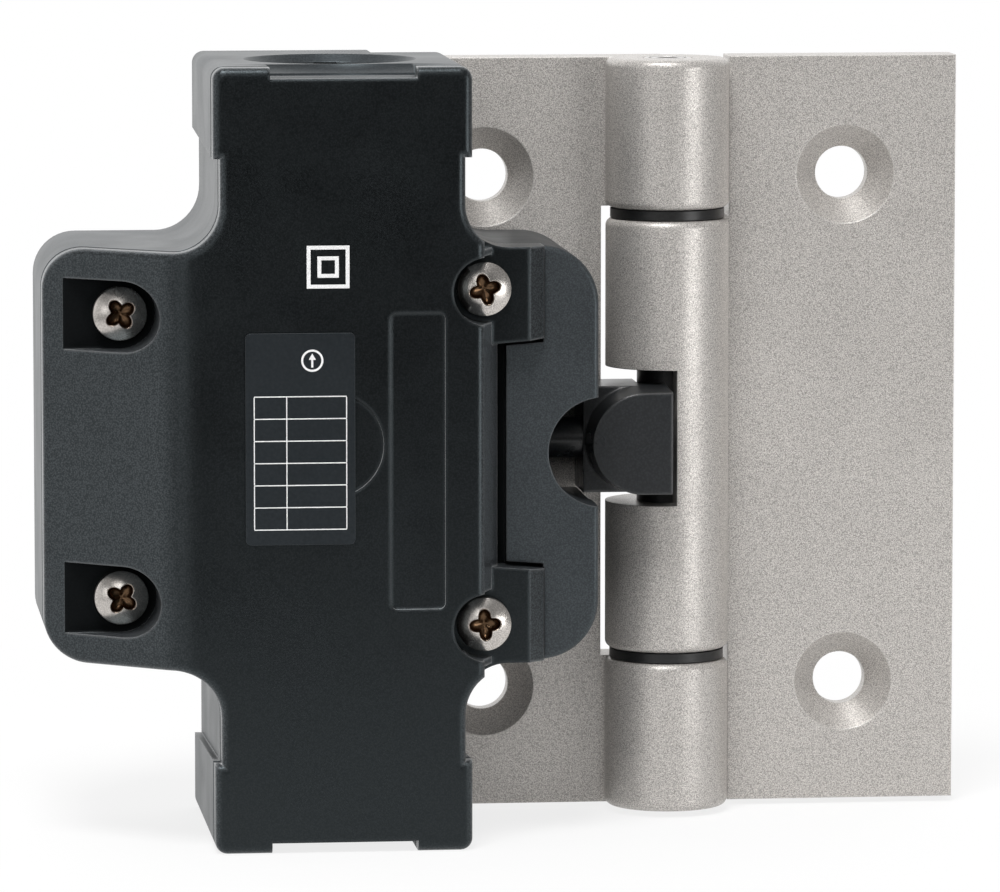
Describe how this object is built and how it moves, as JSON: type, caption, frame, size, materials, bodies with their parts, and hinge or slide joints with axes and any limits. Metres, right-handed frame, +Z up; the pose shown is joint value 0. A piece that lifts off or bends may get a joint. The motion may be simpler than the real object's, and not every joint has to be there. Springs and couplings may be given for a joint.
{
  "type": "safety hinge switch",
  "caption": "Safety hinge switch: butt hinge with countersunk leaves that carries a moulded switch housing, a plunger at the knuckle and a threaded cable entry.",
  "frame": {"origin": "on the mounting plane, midway between the fixed leaf's two holes", "axes": "+Z up along the hinge axis, +X from the fixed leaf to the moving leaf, -Y to the front"},
  "size_m": [0.1117, 0.0362, 0.0922],
  "materials": {
    "die_cast_zinc": "satin, fine grain",
    "pin_steel": "turned",
    "black_nylon": "moulded",
    "housing_plastic": "glass-filled, fine grain",
    "plunger_plastic": "smooth",
    "seal_rubber": "soft",
    "label_film": "smooth film",
    "screw_steel": "bright",
    "block_plastic": "moulded",
    "contact_brass": "stamped",
    "clamp_steel": "stamped"
  },
  "bodies": {
    "housing": {"fixed_leaf": "die_cast_zinc", "hinge_pin": "pin_steel", "upper_washer": "black_nylon", "lower_washer": "black_nylon", "housing_base": "housing_plastic", "front_cover": "housing_plastic", "cover_gasket": "seal_rubber", "rating_label": "label_film", "cover_screws_left": "screw_steel", "cover_screws_right": "screw_steel", "leaf_screws": "screw_steel", "guide_bush": "black_nylon", "plunger_seal": "seal_rubber", "contact_block": "block_plastic", "nc_contact_upper": "contact_brass", "nc_contact_lower": "contact_brass", "no_contact_upper": "contact_brass", "no_contact_lower": "contact_brass", "terminal_clamps": "clamp_steel", "terminal_screws": "screw_steel", "block_screws": "screw_steel", "return_spring": "screw_steel"},
    "door_leaf": {"moving_leaf": "die_cast_zinc", "pin_sleeve": "black_nylon"},
    "plunger": {"plunger_head": "plunger_plastic", "plunger_stem": "plunger_plastic", "contact_carrier": "block_plastic", "nc_bridge": "contact_brass", "no_bridge": "contact_brass"}
  },
  "joints": [
    {"name": "leaf_hinge", "type": "hinge", "parent": "housing", "child": "door_leaf", "pos_m": [0.022, -0.0075, 0], "axis": [0, 0, -1], "range_deg": [0, 90]},
    {"name": "plunger_slide", "type": "slide", "parent": "housing", "child": "plunger", "axis": [-1, 0, 0], "range_m": [0, 0.009], "deforming": ["return_spring"]}
  ],
  "couplings": [
    {"joint": "plunger_slide", "follows": "leaf_hinge", "m_per_rad": 0.005729}
  ]
}
